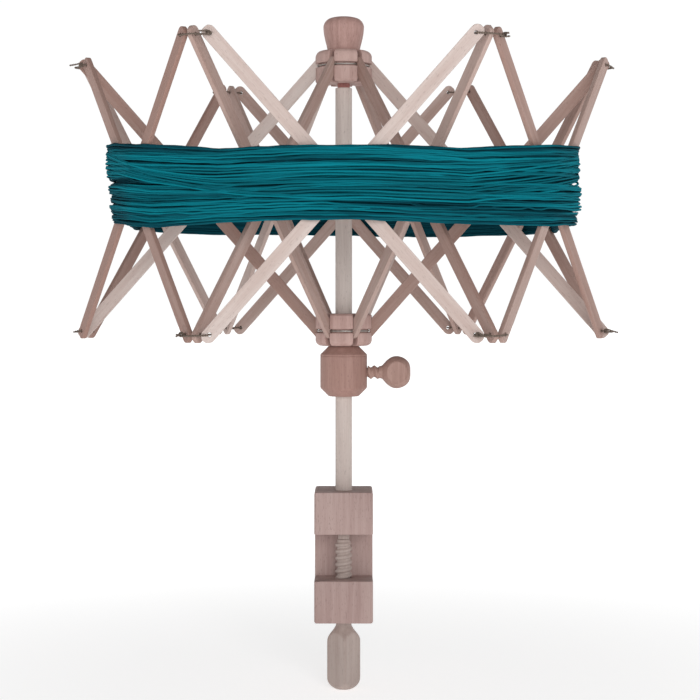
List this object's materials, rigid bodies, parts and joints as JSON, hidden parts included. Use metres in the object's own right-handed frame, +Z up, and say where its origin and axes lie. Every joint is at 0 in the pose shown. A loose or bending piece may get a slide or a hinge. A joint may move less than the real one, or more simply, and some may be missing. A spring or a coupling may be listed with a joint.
{
  "type": "umbrella swift",
  "caption": "Wooden umbrella swift with a folding lattice of laths on a table clamp, carrying a wound skein of wool.",
  "frame": {"origin": "on the post's axis, on the underside of the upper jaw, where the table top meets it", "axes": "+Z up along the post, -Y towards the front, where the clamp opens, +X towards the thumbscrew"},
  "size_m": [0.5452, 0.4884, 0.6718],
  "materials": {
    "block_wood": "sanded, unvarnished",
    "post_wood": "sanded, unvarnished",
    "turned_wood": "turned smooth, waxed",
    "lath_wood": "planed, unvarnished",
    "wire": "drawn wire",
    "rivet": "dull",
    "cord": "twisted cotton",
    "yarn": "wool yarn"
  },
  "bodies": {
    "stand": {"clamp_block": "block_wood", "post": "post_wood", "knob": "turned_wood"},
    "screw_button": {"screw_button": "post_wood"},
    "clamp_screw": {"clamp_screw": "post_wood"},
    "rotor": {"upper_hub": "turned_wood", "upper_hub_wire": "wire"},
    "lower_hub": {"lower_hub": "turned_wood", "lower_hub_wire": "wire"},
    "collar": {"collar": "turned_wood"},
    "thumbscrew": {"thumbscrew": "turned_wood"},
    "skein": {"yarn_skein": "yarn"},
    "radial_upper_1": {"radial_upper_1": "lath_wood", "radial_rivet_1": "rivet"},
    "radial_lower_1": {"radial_lower_1": "lath_wood"},
    "upper_tie_1": {"upper_tie_1": "cord"},
    "lower_tie_1": {"lower_tie_1": "cord"},
    "radial_upper_2": {"radial_upper_2": "lath_wood", "radial_rivet_2": "rivet"},
    "radial_lower_2": {"radial_lower_2": "lath_wood"},
    "upper_tie_2": {"upper_tie_2": "cord"},
    "lower_tie_2": {"lower_tie_2": "cord"},
    "radial_upper_3": {"radial_upper_3": "lath_wood", "radial_rivet_3": "rivet"},
    "radial_lower_3": {"radial_lower_3": "lath_wood"},
    "upper_tie_3": {"upper_tie_3": "cord"},
    "lower_tie_3": {"lower_tie_3": "cord"},
    "radial_upper_4": {"radial_upper_4": "lath_wood", "radial_rivet_4": "rivet"},
    "radial_lower_4": {"radial_lower_4": "lath_wood"},
    "upper_tie_4": {"upper_tie_4": "cord"},
    "lower_tie_4": {"lower_tie_4": "cord"},
    "radial_upper_5": {"radial_upper_5": "lath_wood", "radial_rivet_5": "rivet"},
    "radial_lower_5": {"radial_lower_5": "lath_wood"},
    "upper_tie_5": {"upper_tie_5": "cord"},
    "lower_tie_5": {"lower_tie_5": "cord"},
    "radial_upper_6": {"radial_upper_6": "lath_wood", "radial_rivet_6": "rivet"},
    "radial_lower_6": {"radial_lower_6": "lath_wood"},
    "upper_tie_6": {"upper_tie_6": "cord"},
    "lower_tie_6": {"lower_tie_6": "cord"},
    "side_inner_1": {"side_inner_1": "lath_wood", "side_rivet_1": "rivet"},
    "side_outer_1": {"side_outer_1": "lath_wood"},
    "side_inner_2": {"side_inner_2": "lath_wood", "side_rivet_2": "rivet"},
    "side_outer_2": {"side_outer_2": "lath_wood"},
    "side_inner_3": {"side_inner_3": "lath_wood", "side_rivet_3": "rivet"},
    "side_outer_3": {"side_outer_3": "lath_wood"},
    "side_inner_4": {"side_inner_4": "lath_wood", "side_rivet_4": "rivet"},
    "side_outer_4": {"side_outer_4": "lath_wood"},
    "side_inner_5": {"side_inner_5": "lath_wood", "side_rivet_5": "rivet"},
    "side_outer_5": {"side_outer_5": "lath_wood"},
    "side_inner_6": {"side_inner_6": "lath_wood", "side_rivet_6": "rivet"},
    "side_outer_6": {"side_outer_6": "lath_wood"}
  },
  "joints": [
    {"name": "spin", "type": "hinge", "parent": "stand", "child": "rotor", "pos_m": [0, 0, 0.4646], "axis": [0, 0, 1], "continuous": true},
    {"name": "fold", "type": "hinge", "parent": "rotor", "child": "radial_upper_1", "pos_m": [0.025, 0, 0.4646], "axis": [0, 1, 0], "range_deg": [0, 36.4]},
    {"name": "radial_cross_1", "type": "hinge", "parent": "radial_upper_1", "child": "radial_lower_1", "pos_m": [0.14141, 0, 0.3326], "axis": [0, 1, 0], "range_deg": [-72.8, 0]},
    {"name": "lower_point_1", "type": "hinge", "parent": "radial_upper_1", "child": "lower_tie_1", "pos_m": [0.25783, 0, 0.2006], "axis": [0, 1, 0], "range_deg": [-36.4, 0]},
    {"name": "upper_point_1", "type": "hinge", "parent": "radial_lower_1", "child": "upper_tie_1", "pos_m": [0.25783, 0, 0.4646], "axis": [0, 1, 0], "range_deg": [0, 36.4]},
    {"name": "upper_pivot_2", "type": "hinge", "parent": "rotor", "child": "radial_upper_2", "pos_m": [0.0125, 0.02165, 0.4646], "axis": [-0.866, 0.5, 0], "range_deg": [0, 36.4]},
    {"name": "radial_cross_2", "type": "hinge", "parent": "radial_upper_2", "child": "radial_lower_2", "pos_m": [0.07071, 0.12247, 0.3326], "axis": [-0.866, 0.5, 0], "range_deg": [-72.8, 0]},
    {"name": "lower_point_2", "type": "hinge", "parent": "radial_upper_2", "child": "lower_tie_2", "pos_m": [0.12891, 0.22328, 0.2006], "axis": [-0.866, 0.5, 0], "range_deg": [-36.4, 0]},
    {"name": "upper_point_2", "type": "hinge", "parent": "radial_lower_2", "child": "upper_tie_2", "pos_m": [0.12891, 0.22328, 0.4646], "axis": [-0.866, 0.5, 0], "range_deg": [0, 36.4]},
    {"name": "upper_pivot_3", "type": "hinge", "parent": "rotor", "child": "radial_upper_3", "pos_m": [-0.0125, 0.02165, 0.4646], "axis": [-0.866, -0.5, 0], "range_deg": [0, 36.4]},
    {"name": "radial_cross_3", "type": "hinge", "parent": "radial_upper_3", "child": "radial_lower_3", "pos_m": [-0.07071, 0.12247, 0.3326], "axis": [-0.866, -0.5, 0], "range_deg": [-72.8, 0]},
    {"name": "lower_point_3", "type": "hinge", "parent": "radial_upper_3", "child": "lower_tie_3", "pos_m": [-0.12891, 0.22328, 0.2006], "axis": [-0.866, -0.5, 0], "range_deg": [-36.4, 0]},
    {"name": "upper_point_3", "type": "hinge", "parent": "radial_lower_3", "child": "upper_tie_3", "pos_m": [-0.12891, 0.22328, 0.4646], "axis": [-0.866, -0.5, 0], "range_deg": [0, 36.4]},
    {"name": "upper_pivot_4", "type": "hinge", "parent": "rotor", "child": "radial_upper_4", "pos_m": [-0.025, 0, 0.4646], "axis": [0, -1, 0], "range_deg": [0, 36.4]},
    {"name": "radial_cross_4", "type": "hinge", "parent": "radial_upper_4", "child": "radial_lower_4", "pos_m": [-0.14141, 0, 0.3326], "axis": [0, -1, 0], "range_deg": [-72.8, 0]},
    {"name": "lower_point_4", "type": "hinge", "parent": "radial_upper_4", "child": "lower_tie_4", "pos_m": [-0.25783, 0, 0.2006], "axis": [0, -1, 0], "range_deg": [-36.4, 0]},
    {"name": "upper_point_4", "type": "hinge", "parent": "radial_lower_4", "child": "upper_tie_4", "pos_m": [-0.25783, 0, 0.4646], "axis": [0, -1, 0], "range_deg": [0, 36.4]},
    {"name": "upper_pivot_5", "type": "hinge", "parent": "rotor", "child": "radial_upper_5", "pos_m": [-0.0125, -0.02165, 0.4646], "axis": [0.866, -0.5, 0], "range_deg": [0, 36.4]},
    {"name": "radial_cross_5", "type": "hinge", "parent": "radial_upper_5", "child": "radial_lower_5", "pos_m": [-0.07071, -0.12247, 0.3326], "axis": [0.866, -0.5, 0], "range_deg": [-72.8, 0]},
    {"name": "lower_point_5", "type": "hinge", "parent": "radial_upper_5", "child": "lower_tie_5", "pos_m": [-0.12891, -0.22328, 0.2006], "axis": [0.866, -0.5, 0], "range_deg": [-36.4, 0]},
    {"name": "upper_point_5", "type": "hinge", "parent": "radial_lower_5", "child": "upper_tie_5", "pos_m": [-0.12891, -0.22328, 0.4646], "axis": [0.866, -0.5, 0], "range_deg": [0, 36.4]},
    {"name": "upper_pivot_6", "type": "hinge", "parent": "rotor", "child": "radial_upper_6", "pos_m": [0.0125, -0.02165, 0.4646], "axis": [0.866, 0.5, 0], "range_deg": [0, 36.4]},
    {"name": "radial_cross_6", "type": "hinge", "parent": "radial_upper_6", "child": "radial_lower_6", "pos_m": [0.07071, -0.12247, 0.3326], "axis": [0.866, 0.5, 0], "range_deg": [-72.8, 0]},
    {"name": "lower_point_6", "type": "hinge", "parent": "radial_upper_6", "child": "lower_tie_6", "pos_m": [0.12891, -0.22328, 0.2006], "axis": [0.866, 0.5, 0], "range_deg": [-36.4, 0]},
    {"name": "upper_point_6", "type": "hinge", "parent": "radial_lower_6", "child": "upper_tie_6", "pos_m": [0.12891, -0.22328, 0.4646], "axis": [0.866, 0.5, 0], "range_deg": [0, 36.4]},
    {"name": "inner_hang_1", "type": "hinge", "parent": "upper_tie_1", "child": "side_inner_1", "pos_m": [0.25379, 0.0121, 0.4646], "axis": [-0.866, -0.5, 0], "range_deg": [0, 36.4]},
    {"name": "outer_hang_1", "type": "hinge", "parent": "lower_tie_1", "child": "side_outer_1", "pos_m": [0.25795, 0.0145, 0.2006], "axis": [0.866, 0.5, 0], "range_deg": [0, 36.4]},
    {"name": "inner_hang_2", "type": "hinge", "parent": "upper_tie_2", "child": "side_inner_2", "pos_m": [0.11641, 0.22584, 0.4646], "axis": [0, -1, 0], "range_deg": [0, 36.4]},
    {"name": "outer_hang_2", "type": "hinge", "parent": "lower_tie_2", "child": "side_outer_2", "pos_m": [0.11641, 0.23064, 0.2006], "axis": [0, 1, 0], "range_deg": [0, 36.4]},
    {"name": "inner_hang_3", "type": "hinge", "parent": "upper_tie_3", "child": "side_inner_3", "pos_m": [-0.13738, 0.21374, 0.4646], "axis": [0.866, -0.5, 0], "range_deg": [0, 36.4]},
    {"name": "outer_hang_3", "type": "hinge", "parent": "lower_tie_3", "child": "side_outer_3", "pos_m": [-0.14154, 0.21614, 0.2006], "axis": [-0.866, 0.5, 0], "range_deg": [0, 36.4]},
    {"name": "inner_hang_4", "type": "hinge", "parent": "upper_tie_4", "child": "side_inner_4", "pos_m": [-0.25379, -0.0121, 0.4646], "axis": [0.866, 0.5, 0], "range_deg": [0, 36.4]},
    {"name": "outer_hang_4", "type": "hinge", "parent": "lower_tie_4", "child": "side_outer_4", "pos_m": [-0.25795, -0.0145, 0.2006], "axis": [-0.866, -0.5, 0], "range_deg": [0, 36.4]},
    {"name": "inner_hang_5", "type": "hinge", "parent": "upper_tie_5", "child": "side_inner_5", "pos_m": [-0.11641, -0.22584, 0.4646], "axis": [0, 1, 0], "range_deg": [0, 36.4]},
    {"name": "outer_hang_5", "type": "hinge", "parent": "lower_tie_5", "child": "side_outer_5", "pos_m": [-0.11641, -0.23064, 0.2006], "axis": [0, -1, 0], "range_deg": [0, 36.4]},
    {"name": "inner_hang_6", "type": "hinge", "parent": "upper_tie_6", "child": "side_inner_6", "pos_m": [0.13738, -0.21374, 0.4646], "axis": [-0.866, 0.5, 0], "range_deg": [0, 36.4]},
    {"name": "outer_hang_6", "type": "hinge", "parent": "lower_tie_6", "child": "side_outer_6", "pos_m": [0.14154, -0.21614, 0.2006], "axis": [0.866, -0.5, 0], "range_deg": [0, 36.4]},
    {"name": "lower_hub_hang", "type": "hinge", "parent": "radial_lower_1", "child": "lower_hub", "pos_m": [0.025, 0, 0.2006], "axis": [0, 1, 0], "range_deg": [0, 36.4]},
    {"name": "collar_turn", "type": "hinge", "parent": "lower_hub", "child": "collar", "pos_m": [0, 0, 0.1606], "axis": [0, 0, 1], "continuous": true},
    {"name": "thumbscrew_turn", "type": "hinge", "parent": "collar", "child": "thumbscrew", "pos_m": [0.03, 0, 0.15915], "axis": [1, 0, 0], "range_deg": [0, 360]},
    {"name": "skein_sink", "type": "slide", "parent": "rotor", "child": "skein", "axis": [0, 0, -1], "range_m": [0, 0.04353], "deforming": ["yarn_skein"]},
    {"name": "clamp_travel", "type": "slide", "parent": "stand", "child": "screw_button", "axis": [0, 0, -1], "range_m": [-0.00201, 0.03701]},
    {"name": "clamp_turn", "type": "hinge", "parent": "screw_button", "child": "clamp_screw", "pos_m": [0, 0, -0.05], "axis": [0, 0, -1], "range_deg": [-110, 2049]}
  ],
  "couplings": [
    {"joint": "radial_cross_1", "follows": "fold", "ratio": -2},
    {"joint": "lower_point_1", "follows": "fold", "ratio": -1},
    {"joint": "upper_point_1", "follows": "fold", "ratio": 1},
    {"joint": "upper_pivot_2", "follows": "fold", "ratio": 1},
    {"joint": "radial_cross_2", "follows": "fold", "ratio": -2},
    {"joint": "lower_point_2", "follows": "fold", "ratio": -1},
    {"joint": "upper_point_2", "follows": "fold", "ratio": 1},
    {"joint": "upper_pivot_3", "follows": "fold", "ratio": 1},
    {"joint": "radial_cross_3", "follows": "fold", "ratio": -2},
    {"joint": "lower_point_3", "follows": "fold", "ratio": -1},
    {"joint": "upper_point_3", "follows": "fold", "ratio": 1},
    {"joint": "upper_pivot_4", "follows": "fold", "ratio": 1},
    {"joint": "radial_cross_4", "follows": "fold", "ratio": -2},
    {"joint": "lower_point_4", "follows": "fold", "ratio": -1},
    {"joint": "upper_point_4", "follows": "fold", "ratio": 1},
    {"joint": "upper_pivot_5", "follows": "fold", "ratio": 1},
    {"joint": "radial_cross_5", "follows": "fold", "ratio": -2},
    {"joint": "lower_point_5", "follows": "fold", "ratio": -1},
    {"joint": "upper_point_5", "follows": "fold", "ratio": 1},
    {"joint": "upper_pivot_6", "follows": "fold", "ratio": 1},
    {"joint": "radial_cross_6", "follows": "fold", "ratio": -2},
    {"joint": "lower_point_6", "follows": "fold", "ratio": -1},
    {"joint": "upper_point_6", "follows": "fold", "ratio": 1},
    {"joint": "inner_hang_1", "follows": "fold", "ratio": 1},
    {"joint": "outer_hang_1", "follows": "fold", "ratio": 1},
    {"joint": "inner_hang_2", "follows": "fold", "ratio": 1},
    {"joint": "outer_hang_2", "follows": "fold", "ratio": 1},
    {"joint": "inner_hang_3", "follows": "fold", "ratio": 1},
    {"joint": "outer_hang_3", "follows": "fold", "ratio": 1},
    {"joint": "inner_hang_4", "follows": "fold", "ratio": 1},
    {"joint": "outer_hang_4", "follows": "fold", "ratio": 1},
    {"joint": "inner_hang_5", "follows": "fold", "ratio": 1},
    {"joint": "outer_hang_5", "follows": "fold", "ratio": 1},
    {"joint": "inner_hang_6", "follows": "fold", "ratio": 1},
    {"joint": "outer_hang_6", "follows": "fold", "ratio": 1},
    {"joint": "lower_hub_hang", "follows": "fold", "ratio": 1},
    {"joint": "collar_turn", "follows": "spin", "ratio": -1},
    {"joint": "skein_sink", "follows": "fold", "m_per_rad": 0.0682},
    {"joint": "clamp_travel", "follows": "clamp_turn", "m_per_rad": 0.0010345}
  ]
}
